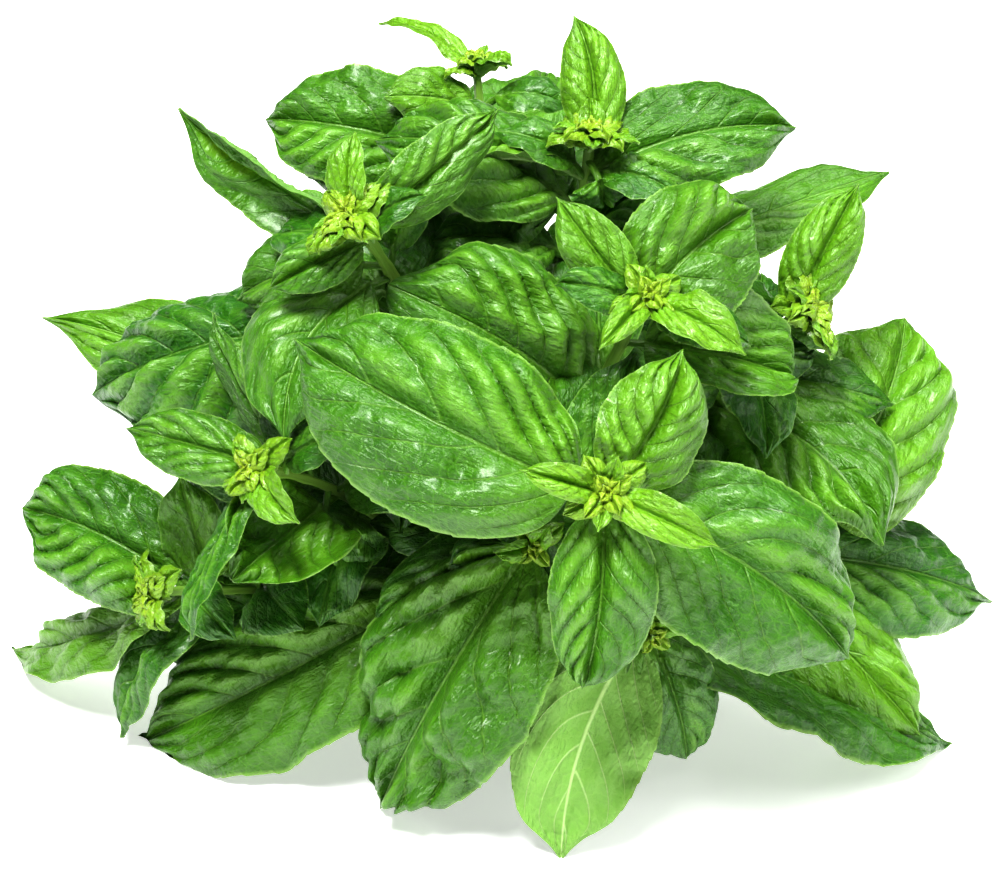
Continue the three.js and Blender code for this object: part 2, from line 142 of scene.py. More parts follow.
def stem_line(tip, towards, slot, **_):
    """Straight from the cut end to the neck, then a Bezier curve whose handles are 0.35 of the
    distance long; never lower than half the stem's own thickness."""
    column, row = slot
    rest = STEM_SIDE / 2 + row * STEM_RISE
    x, y, _z = HEAD_CENTRE
    neck = np.array([x + column * STEM_PITCH, y + NECK_BEHIND, rest])
    cut = np.array([x + column * STEM_PITCH * BUNDLE_SPREAD, y + CUT_BEHIND, rest])
    apex = spot(tip)
    reach = 0.35 * np.linalg.norm(apex - neck)
    first = neck + reach * np.array([column * 0.1, -1, row * 0.12])
    second = apex - reach * unit(way(towards))
    t = np.linspace(0, 1, 64)[:, None]
    bend = (1 - t) ** 3 * neck + 3 * (1 - t) ** 2 * t * first + 3 * (1 - t) * t**2 * second + t**3 * apex
    line = np.vstack([mix(cut, neck, np.linspace(0, 1, 12)[:-1, None]), bend])
    line[:, 2] = np.maximum(line[:, 2], STEM_SIDE / 2)
    return line


def before_end(line, distance):
    """The point of a line a given distance before its end, and the way the line runs there."""
    steps = np.linalg.norm(np.diff(line, axis=0), axis=1)
    run = np.concatenate([[0], np.cumsum(steps)])
    at = run[-1] - np.array([distance + 0.5, distance, distance - 0.5])
    three = np.stack([np.interp(at, run, line[:, k]) for k in range(3)], 1)
    return three[1], unit(three[2] - three[0] + 1e-9)


LINES = {name: stem_line(**stem) for name, stem in STEMS.items()}
lengths = [np.linalg.norm(np.diff(line, axis=0), axis=1).sum() for line in LINES.values()]
print("stems:", len(LINES), "longest", round(max(lengths)), "mm")

# %% [markdown]
# ## The shape of one leaf
#
# A basil leaf is a broad oval on a short round stalk. Its midrib arches, its two halves lift away
# from the midrib and droop again at the edges, and between the side veins the blade swells up in soft
# pillows, which is what makes it catch the light in patches. All of that is one surface: a function of
# how far along the leaf a point is and how far across it is. Modelling it by hand or with a displace
# texture would give the same pillows everywhere; a formula keeps the veins of the shape and the veins
# of the colour in step.
#
# The leaf is a closed skin, upper side and underside, that is a flattened tube: the stalk is the same
# tube where it is still round.

# %% Leaf outline
WIDEST_AT = 0.42
STALK_RADIUS = 0.9
BLADE_HALF_THICKNESS = 0.2


def outline(on, blunt):
    """Half width at a share of the blade's length: the share to one power times what is left of it
    to another, scaled to be 1 at the widest place. A small blunt gives a round end, and the last
    fifth is drawn in to a short point."""
    on = np.clip(on, 0, 1)
    rise = blunt * WIDEST_AT / (1 - WIDEST_AT)
    whole = (on / WIDEST_AT) ** rise * ((1 - on) / (1 - WIDEST_AT)) ** blunt
    return whole * (1 - 0.62 * smooth(0.8, 1, on))


print("outline at quarter steps:", np.round(outline(np.linspace(0, 1, 5), 0.6), 2))

# %% Side veins
VEIN_PAIRS = 5.6
OTHER_SIDE_LAG = 0.4


def vein_phase(on, across, seed):
    """Counts the side veins: a whole number on each vein. The count falls behind towards the margin
    by a third of the distance across plus a seventh of its power 2.4, so the veins sweep forward; one
    half of the leaf lags the other; and a slow wave makes some gaps wider than others."""
    out = np.abs(across)
    wander = 0.34 * np.sin(2 * np.pi * (0.9 * on + 0.3 * across) + 3 * seed)
    lag = OTHER_SIDE_LAG * smooth(0.04, -0.04, across)
    return VEIN_PAIRS * (on - 0.33 * out - 0.14 * out**2.4) + wander + lag


middle_count = vein_phase(np.array([0.0, 1.0]), np.array([0.5, 0.5]), 0)
print("side veins half-way out:", np.round(np.ptp(middle_count), 1), "a side")

# %% Pillows and dents
SWELLING_EVERY_MM = 7


def pillows(phase, on, across, from_midrib, seed):
    """Height of the swellings, about 0 to 1: the size of a sine of the vein count, which is nearly 0
    in a narrow valley on each vein, times a weaker sine every 7 mm along the vein, times a height
    that differs from one swelling to the next, faded out at the midrib, the margin and both ends."""
    out = np.abs(across)
    dome = (np.sin(np.pi * phase) ** 2 + 0.03) ** 0.35
    own = np.sin(12.9 * np.floor(phase) + 4.1 * np.sign(across) + seed)
    place = np.abs(from_midrib) / SWELLING_EVERY_MM + 0.5 * np.floor(phase)
    small = np.abs(np.sin(np.pi * (place + 0.4 * np.sin(9 * on + seed)))) ** 0.7
    fade = smooth(0.02, 0.22, out) * (1 - 0.75 * smooth(0.7, 1, out))
    fade = fade * smooth(0, 0.1, on) * smooth(1, 0.86, on)
    broken = 0.2 + 0.3 * smooth(0.3, 0.9, on)
    return fade * dome * (0.68 + 0.42 * own) * (1 - broken + broken * small)


def dents(along_mm, across_mm, seed):
    """Irregular dents in millimetres: ten plane waves, 4.5 to 34 mm long, in directions and phases
    drawn from the seed, the longer the higher, and seven lumps and hollows."""
    draw = np.random.default_rng(int(1000 * seed) + 5)
    total = 0
    for length in np.geomspace(4.5, 34, 10):
        angle, start = draw.uniform(0, 2 * np.pi, 2)
        travelled = along_mm * np.cos(angle) + across_mm * np.sin(angle)
        total = total + (0.014 * length + 0.06) * np.sin(2 * np.pi / length * travelled + start)
    reach, half = along_mm.max(), np.abs(across_mm).max()
    for height in (2.1, -1.8, 1.7, 1.5, -1.4, 1.2, -1.2):
        there = draw.uniform(0.3, 0.95) * reach
        over = draw.uniform(-0.7, 0.7) * half
        size = draw.uniform(3.5, 8)
        total = total + height * hump(np.hypot(along_mm - there, across_mm - over), size)
    return total


# %% The relief of the blade
LADDER_EVERY_MM = 3.1


def blade_relief(on, v, x, along_mm, phase, width, puff, ruffle, seed):
    """How far the middle of the blade rises above its plain fold, in millimetres, and how raised each
    point is, 0 to 1, which the material uses for painted shade in the valleys and a painted highlight
    on the swellings. It is the pillows at 0.075 of the width, less a shallow trough; plus a fine
    ladder across each swelling, the dents, two slow waves at 0.02 of the width, and a ruffle that
    grows with the cube of the distance out."""
    out = np.abs(v)
    opened = smooth(0, 0.15, on)
    near_tip = smooth(1, 0.9, on)
    swell = 0.075 * width * puff * (pillows(phase, on, v, x, seed) - 0.3 * smooth(0.1, 0.5, out) * opened)
    # raised is 0 in the valleys and 1 on the swellings; the leaf material paints shade and highlight from it
    raised = np.clip(0.5 + (swell - swell.mean()) / (0.08 * width * max(puff, 0.3) + 0.3), 0, 1)

    steps = np.abs(x) / LADDER_EVERY_MM + 0.7 * np.floor(phase) + 0.5 * np.sin(14 * on + seed)
    ladder = np.sin(2 * np.pi * steps) * smooth(0.1, 0.35, out) * smooth(1, 0.8, out)
    swell = swell + 0.16 * puff * ladder * opened * near_tip
    small_leaf = min(1, width / 30)
    swell = swell + puff * small_leaf * dents(along_mm, x, seed) * smooth(0.03, 0.3, out) * opened * near_tip

    slow = np.sin(2 * np.pi * (1.2 * on + 0.45 * v) + seed)
    slow = slow + np.sin(2 * np.pi * (2.1 * on - 0.6 * v) + 2.3 * seed)
    swell = swell + 0.02 * width * slow * smooth(0.05, 0.6, out) * opened * smooth(1, 0.85, on)
    edge = np.sin(2 * np.pi * 3.4 * on + np.where(v > 0, seed, 1.7 * seed + 2))
    swell = swell + 0.03 * width * ruffle * edge * out**3 * opened * smooth(1, 0.8, on)
    return swell, raised


# %% Grooves and ribs
def grooves_and_ribs(on, out, x, phase, width, length):
    """The groove that the midrib presses into the upper side and the rib it makes on the underside,
    each a bell across the midrib that fades towards the tip, with a smaller bell on each side vein
    below, all in millimetres."""
    flat = smooth(0, 0.1, on)
    groove = 0.5 * hump(x, 0.035 * width + 0.2) * flat * (1 - 0.6 * np.clip(on, 0, 1))
    rib = (0.75 * hump(x, 0.02 * width + 0.25) + 0.02) * flat * (1 - 0.7 * np.clip(on, 0, 1))
    from_vein = np.abs((phase + 0.5) % 1 - 0.5) * length / VEIN_PAIRS
    rib = rib + 0.3 * hump(from_vein, 0.5) * flat * smooth(0.02, 0.1, out) * smooth(1, 0.7, out)
    return groove, rib * (1 - out**8)


# %% The skin of a leaf
TOOTH_COUNT, TOOTH_DEPTH = 15, 0.022
LOWEST_UPPER_SIDE, LOWEST_UNDERSIDE, LOWEST_END = 0.55, 0.1, 0.3


def leaf_skin(base, tip, facing, width, rows, columns, arch=0, sway=0, fold=30, droop=0.55, stalk=0,
              blunt=0.7, puff=1.0, ruffle=1.0, roll=0, nod=0, teeth=1.0, seed=0):
    """The midrib is the straight line from base to tip plus a parabola, arch towards the upper side
    and sway sideways; nod bends the last half back. Across it, height is the half width times
    (distance times the sine of the fold, minus droop times distance squared), and roll lifts the
    margins. The relief is added along the local upright, and half the thickness is added above and
    taken away below. No point is lower than the floor allows."""
    chord = tip - base
    length = np.linalg.norm(chord)
    ahead = chord / length
    face = unit(facing - ahead * (facing @ ahead))
    side = np.cross(face, ahead)

    def midrib(s):
        s = np.asarray(s)[..., None]
        bowed = base + s * chord + 4 * s * (1 - s) * (arch * face + sway * side)
        return bowed - nod * smooth(0.55, 1.1, s) ** 2 * face

    bare = stalk / length
    t = np.linspace(0, 1, rows)
    on_blade = mix(t, 0.5 - 0.5 * np.cos(np.pi * t), 0.6)[:-1]
    on_stalk = np.linspace(0, bare, max(3, int(stalk / 1.5) + 2))[:-1]
    s = np.concatenate([on_stalk, bare + (1 - bare) * on_blade])
    on = ((s - bare) / (1 - bare))[:, None]
    along = unit(midrib(s + 1e-3) - midrib(s - 1e-3))
    level = unit(side - along * (along @ side)[:, None])
    upright = np.cross(along, level)

    flat = smooth(0, 0.1, on)
    opened = smooth(0, 0.15, on)
    angle = np.linspace(0, np.pi, columns)
    even = 1 - 2 * angle / np.pi
    upper = mix(np.cos(angle), np.sign(even) * np.abs(even) ** 1.1, flat)
    v = np.concatenate([upper, upper[:, ::-1][:, 1:-1]], 1)
    layer = np.concatenate([np.ones(columns), -np.ones(columns - 2)])
    out = np.abs(v)

    stalk_radius = STALK_RADIUS * (1 - 0.75 * smooth(0.5, 1, s[:, None]))
    half = np.maximum(width / 2 * outline(on, blunt), stalk_radius)
    tooth = (on * TOOTH_COUNT + 0.2 * np.sin(seed + 5 * on)) % 1
    toothed = out**12 * tooth * smooth(0.12, 0.3, on) * smooth(1, 0.94, on)
    half = half * (1 + teeth * TOOTH_DEPTH * toothed)
    bend = np.radians(fold + 4 * np.sin(seed) * np.sign(v))
    x = half * v * (1 - 0.6 * (1 - np.cos(bend)) * opened)
    height = half * opened * (out * np.sin(bend) - droop * v**2)
    height = height + half * roll * smooth(0.55, 1, out) ** 2 * opened

    phase = vein_phase(on, v, seed)
    swell, raised = blade_relief(on, v, x, s[:, None] * length, phase, width, puff, ruffle, seed)
    groove, rib = grooves_and_ribs(on, out, x, phase, width, length)
    thick = mix(STALK_RADIUS, BLADE_HALF_THICKNESS, flat) * np.sqrt(1 - out ** mix(2, 8, flat))
    height = height + swell - np.where(layer > 0, groove, 0) + layer * thick - np.where(layer < 0, rib, 0)

    points = midrib(s)[:, None] + x[..., None] * level[:, None] + height[..., None] * upright[:, None]
    points[..., 2] = np.maximum(points[..., 2], np.where(layer > 0, LOWEST_UPPER_SIDE, LOWEST_UNDERSIDE))
    ends = midrib([0.0, 1.0])
    ends[:, 2] = np.maximum(ends[:, 2], LOWEST_END)
    skin = close_skin(points, ends[0], ends[1], columns,
                      blade=np.stack(np.broadcast_arrays(on, (v + 1) / 2), -1),
                      sheet=np.stack(np.broadcast_arrays(s[:, None] * length / 10, x / 10), -1))
    skin["raised"] = np.concatenate([raised.ravel(), [0.5, 0.5]])
    skin["veins"] = np.concatenate([phase.ravel(), [0.5, 0.5]])
    return skin

# %% Closing a skin into a mesh
def close_skin(rings, start, end, columns, blade, sheet):
    """Rings of points joined by four-sided faces, each ring closed on itself, with a fan of
    three-sided faces to one point at either end. The first columns - 1 faces round a ring are the
    upper side."""
    n, m = rings.shape[:2]
    i, j = np.meshgrid(np.arange(n - 1), np.arange(m), indexing="ij")
    k = (j + 1) % m
    quads = np.stack([i * m + j, i * m + k, (i + 1) * m + k, (i + 1) * m + j], -1).reshape(-1, 4)
    j = np.arange(m)
    k = (j + 1) % m
    last = (n - 1) * m
    start_fan = np.stack([np.full(m, n * m), k, j], 1)
    end_fan = np.stack([last + j, last + k, np.full(m, n * m + 1)], 1)
    under = np.where(j >= columns - 1, 1.0, 0.0)

    def ends(a, first, final):
        return np.vstack([a.reshape(-1, 2), first, final])

    return dict(
        points=np.vstack([rings.reshape(-1, 3), start, end]),
        quads=quads, fans=np.vstack([start_fan, end_fan]),
        under=np.concatenate([np.tile(under, n - 1), under, under]),
        blade=ends(blade, (blade[0, 0, 0], 0.5), (1, 0.5)),
        sheet=ends(sheet, sheet[0].mean(0), sheet[-1].mean(0)))


BAKE_GAP = 0.02
SHARPEST_SMOOTH_EDGE = np.radians(75)


def put_piece(name, skins, material, stands_for=()):
    """One object from any number of closed skins, with its place in its mesh: two maps that the
    materials read (how far along and across the blade, and centimetres along and across it), a map
    for baking with each skin in a cell of its own, and, for each point, how young its leaf is, how
    raised it is and its vein count, and for each face whether it is underneath."""
    shift = np.cumsum([0] + [len(s["points"]) for s in skins])
    quads = np.vstack([s["quads"] + d for s, d in zip(skins, shift)])
    fans = np.vstack([s["fans"] + d for s, d in zip(skins, shift)])
    corners = np.concatenate([quads.ravel(), fans.ravel()])
    sizes = np.concatenate([np.full(len(quads), 4), np.full(len(fans), 3)])
    under = np.concatenate([s["under"][: len(s["quads"])] for s in skins]
                           + [s["under"][len(s["quads"]):] for s in skins])
    points = np.vstack([s["points"] for s in skins]) * MM
    mesh = bpy.data.meshes.new(name)
    mesh.vertices.add(len(points))
    mesh.vertices.foreach_set("co", points.ravel())
    mesh.loops.add(len(corners))
    mesh.loops.foreach_set("vertex_index", corners)
    mesh.polygons.add(len(sizes))
    mesh.polygons.foreach_set("loop_start", np.cumsum(sizes) - sizes)
    mesh.update(calc_edges=True)
    mesh.polygons.foreach_set("use_smooth", np.ones(len(sizes), bool))
    blade = np.vstack([s["blade"] for s in skins])[corners]
    sheet = np.vstack([s["sheet"] for s in skins])[corners]
    side = np.repeat(under, sizes)
    counts = [len(s["points"]) for s in skins]
    which = np.repeat(np.arange(len(skins)), counts)[corners]
    grid = int(np.ceil(np.sqrt(len(skins))))
    span = np.repeat([max(np.ptp(s["sheet"][:, 0]), 0.01) for s in skins], counts)[corners]
    start = np.repeat([s["sheet"][:, 0].min() for s in skins], counts)[corners]
    cell = np.stack([blade[:, 1] / 2 + side / 2, (sheet[:, 0] - start) / span], 1)
    cell = cell * (1 - 2 * BAKE_GAP) + BAKE_GAP
    bake = (cell + np.stack([which % grid, which // grid], 1)) / grid
    for title, uv in (("OFBake", bake), ("blade", blade), ("sheet", sheet)):
        mesh.uv_layers.new(name=title).uv.foreach_set("vector", uv.astype(np.float32).ravel())
    tone = np.repeat([s.get("tone", 0.0) for s in skins], counts)
    mesh.attributes.new("tone", "FLOAT", "POINT").data.foreach_set("value", tone.astype(np.float32))
    for title in ("raised", "veins"):
        value = np.concatenate([s.get(title, np.full(n, 0.5)) for s, n in zip(skins, counts)])
        mesh.attributes.new(title, "FLOAT", "POINT").data.foreach_set("value", value.astype(np.float32))
    mesh.attributes.new("under", "FLOAT", "FACE").data.foreach_set("value", under.astype(np.float32))
    mesh.set_sharp_from_angle(angle=SHARPEST_SMOOTH_EDGE)
    mesh.materials.append(material)
    piece = bpy.data.objects.new(name, mesh)
    bpy.context.scene.collection.objects.link(piece)
    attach(piece, "root")
    if stands_for:
        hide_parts(*stands_for)
    return piece

# %% [markdown]
# ## The finish of a leaf
#
# The upper side is a deep wet-looking green with a waxy gloss; the veins are paler lines pressed into
# it. The underside is matt and greyer, with raised veins. Young leaves are yellow-green all over. One
# material does all of it, because the mesh says how far along and across the blade a point is, which
# side it is on and how young the leaf is. Painting an image would also work, but a recipe of nodes
# stays sharp at any size and follows the same vein count as the shape.

# %% A short hand for shader nodes
class Recipe:
    """Adds shader nodes to one new material. A value may be a number, a colour or another node's
    output."""

    def __init__(self, name):
        self.material = bpy.data.materials.new(name)
        self.material.use_nodes = True
        self.tree = self.material.node_tree
        self.surface = self.tree.nodes["Principled BSDF"]

    def set(self, socket, value):
        if isinstance(value, bpy.types.NodeSocket):
            self.tree.links.new(value, socket)
        else:
            socket.default_value = value

    def node(self, kind, inputs=None, **settings):
        made = self.tree.nodes.new("ShaderNode" + kind)
        for key, value in settings.items():
            setattr(made, key, value)
        for key, value in (inputs or {}).items():
            self.set(made.inputs[key], value)
        return made

    def math(self, what, *values):
        made = self.node("Math", operation=what)
        for socket, value in zip(made.inputs, values):
            self.set(socket, value)
        return made.outputs[0]

    def s_curve(self, low, high, x, to_low=0.0, to_high=1.0):
        ends = {"Value": x, "From Min": low, "From Max": high, "To Min": to_low, "To Max": to_high}
        return self.node("MapRange", ends, interpolation_type="SMOOTHSTEP").outputs[0]

    def vector(self, what, a, b):
        return self.node("VectorMath", {0: a, 1: b}, operation=what).outputs[0]

    def noise(self, place, scale, detail, **inputs):
        return self.node("TexNoise", {"Vector": place, "Scale": scale, "Detail": detail, **inputs}).outputs

    def cell_edge(self, place, scale):
        made = self.node("TexVoronoi", {"Vector": place, "Scale": scale}, feature="DISTANCE_TO_EDGE")
        return made.outputs["Distance"]

    def blend(self, share, a, b):
        made = self.node("Mix", data_type="RGBA")
        self.set(made.inputs[0], share)
        self.set(made.inputs[6], a)
        self.set(made.inputs[7], b)
        return made.outputs[2]

    def attribute(self, name):
        return self.node("Attribute", attribute_name=name).outputs["Fac"]

    def map(self, name):
        return self.node("UVMap", uv_map=name).outputs[0]

    def finish(self, **inputs):
        for key, value in inputs.items():
            self.set(self.surface.inputs[key.replace("_", " ")], value)
        return self.material


def green(r, g, b):
    """A colour as it is seen on a screen, 0 to 255, turned into the light that the shader wants."""
    c = np.array([r, g, b]) / 255
    return (*np.where(c < 0.04045, c / 12.92, ((c + 0.055) / 1.055) ** 2.4), 1.0)


# %% The leaf material
def leaf_finish():
    """Vein lines where the vein count is near a whole number, a net of fine cells on the flat
    centimetre map, and slow drifts of colour in space, mixed by side and by age. On the upper side it
    also paints shade in the valleys between the swellings, a highlight on their tops and a pale
    highlight along the margin."""
    r = Recipe("basil leaf")
    along, across, _ = r.node("SeparateXYZ", {0: r.map("blade")}).outputs
    flat = r.map("sheet")
    _, flat_across, _ = r.node("SeparateXYZ", {0: flat}).outputs
    space = r.node("TexCoord").outputs["Object"]
    tone, under = r.attribute("tone"), r.attribute("under")

    signed = r.math("MULTIPLY_ADD", across, 2.0, -1.0)
    out = r.math("ABSOLUTE", signed)
    off_vein = r.math("PINGPONG", r.attribute("veins"), 0.5)
    width = r.math("MULTIPLY_ADD", out, -0.035, 0.062)
    side_vein = r.math("SUBTRACT", 1.0, r.math("DIVIDE", off_vein, width))
    side_vein = r.math("MAXIMUM", side_vein, 0.0)
    side_vein = r.math("MULTIPLY", side_vein, r.s_curve(0.97, 0.8, out))
    rib_width = r.math("MULTIPLY_ADD", along, -0.055, 0.085)
    midrib = r.math("SUBTRACT", 1.0, r.math("DIVIDE", r.math("ABSOLUTE", flat_across), rib_width))
    midrib = r.math("MAXIMUM", midrib, 0.0)
    vein = r.math("MINIMUM", r.math("MAXIMUM", side_vein, r.math("MULTIPLY", midrib, 1.6)), 1.0)

    wobble = r.vector("MULTIPLY", r.noise(flat, 2.2, 2.0)["Color"], (0.18, 0.18, 0.18))
    bent = r.vector("ADD", flat, wobble)
    net = r.cell_edge(bent, 3.4)
    net_line = r.s_curve(0.1, 0.0, net)
    fine = r.cell_edge(bent, 11.0)
    fine_line = r.s_curve(0.16, 0.0, fine)
    drift = r.noise(space, 28.0, 3.0, Roughness=0.55)["Fac"]
    speck = r.noise(space, 160.0, 2.0)["Fac"]

    deep = r.blend(drift, green(14, 72, 3), green(50, 116, 9))
    fresh = r.blend(drift, green(98, 152, 14), green(138, 180, 34))
    age = r.math("ADD", tone, r.s_curve(0.4, 0.0, along, 0.0, 0.2))
    upper = r.blend(age, deep, fresh)
    upper = r.blend(r.s_curve(0.8, 1.0, tone, 0.0, 0.6), upper, green(184, 194, 54))
    raised = r.attribute("raised")
    # Painted shade: up to 0.45 of a near-black green in the valleys between the swellings, where raised is
    # low.
    upper = r.blend(r.s_curve(0.55, 0.1, raised, 0.0, 0.45), upper, green(8, 56, 2))
    # Painted highlight: up to 0.42 of a pale grey-green on the tops of the swellings, where raised is high.
    upper = r.blend(r.s_curve(0.5, 1.0, raised, 0.0, 0.42), upper, green(130, 180, 60))
    upper = r.blend(r.math("MULTIPLY", r.s_curve(0.35, 0.75, speck), 0.2), upper, green(96, 150, 36))
    lines = r.math("MULTIPLY_ADD", net_line, 0.16, r.math("MULTIPLY", fine_line, 0.07))
    upper = r.blend(lines, upper, green(110, 170, 40))
    upper = r.blend(r.math("MULTIPLY", vein, 0.2), upper, green(160, 205, 90))
    # Painted highlight: a pale rim along the margin, at half strength over the last twentieth of the width.
    upper = r.blend(r.math("MULTIPLY", r.s_curve(0.95, 1.0, out), 0.5), upper, green(150, 196, 90))

    pale = r.blend(tone, green(104, 150, 74), green(142, 186, 84))
    pale = r.blend(r.math("MULTIPLY_ADD", drift, 0.5, -0.1), pale, green(112, 160, 66))
    pale = r.blend(r.math("MULTIPLY", lines, 0.7), pale, green(160, 196, 112))
    pale = r.blend(r.math("MULTIPLY", vein, 0.8), pale, green(190, 218, 148))
    colour = r.blend(under, upper, pale)

    gloss = r.math("MULTIPLY_ADD", drift, 0.2, 0.32)
    gloss = r.math("ADD", gloss, r.math("MULTIPLY", under, 0.3))
    pressed = r.math("MULTIPLY", vein, r.math("MULTIPLY_ADD", under, 1.8, -1.0))
    small_cells = r.math("MULTIPLY", r.s_curve(0.0, 0.3, fine), 0.16)
    cells = r.math("MULTIPLY_ADD", r.s_curve(0.0, 0.3, net), 0.5, small_cells)
    ripple = r.noise(r.vector("MULTIPLY", flat, (1.6, 5.0, 1.0)), 2.4, 3.0)["Fac"]
    relief = r.math("ADD", pressed, r.math("MULTIPLY_ADD", ripple, 2.4, cells))
    bump = r.node("Bump", {"Strength": 0.7, "Distance": 0.0005, "Height": relief}).outputs[0]
    return r.finish(Base_Color=colour, Roughness=gloss, Normal=bump, Specular_IOR_Level=0.5,
                    Coat_Weight=0.22, Coat_Roughness=0.2, Subsurface_Weight=0.12,
                    Subsurface_Radius=(0.9, 1.6, 0.3), Subsurface_Scale=0.0012)


LEAF = leaf_finish()
print("leaf material:", len(LEAF.node_tree.nodes), "nodes")

# %% The stem material
def stem_finish():
    """Pale green with lengthwise streaks, which are a noise drawn out along the stem, and duller
    patches from a slow drift in space."""
    r = Recipe("basil stem")
    flat = r.map("sheet")
    streak = r.noise(r.vector("MULTIPLY", flat, (0.35, 9.0, 1.0)), 3.0, 3.0)["Fac"]
    space = r.node("TexCoord").outputs["Object"]
    drift = r.noise(space, 30.0, 2.0)["Fac"]
    colour = r.blend(streak, green(96, 140, 44), green(150, 186, 84))
    colour = r.blend(r.math("MULTIPLY", r.s_curve(0.45, 0.8, drift), 0.5), colour, green(120, 150, 60))
    bump = r.node("Bump", {"Strength": 0.35, "Distance": 0.0003, "Height": streak}).outputs[0]
    return r.finish(Base_Color=colour, Roughness=0.42, Normal=bump, Subsurface_Weight=0.1,
                    Subsurface_Radius=(0.9, 1.4, 0.4), Subsurface_Scale=0.0015)


STEM = stem_finish()
print("stem material:", len(STEM.node_tree.nodes), "nodes")

# %% [markdown]
# ## The full-grown leaves
#
# Each row says where a leaf grows and where its tip ends up, and then what is particular to it: how
# much it arches, folds and droops, how long its stalk is, how blunt it ends, how young it is (tone),
# and any rolled margin or ruffle. Forty-seven rows make the whole outer dome.

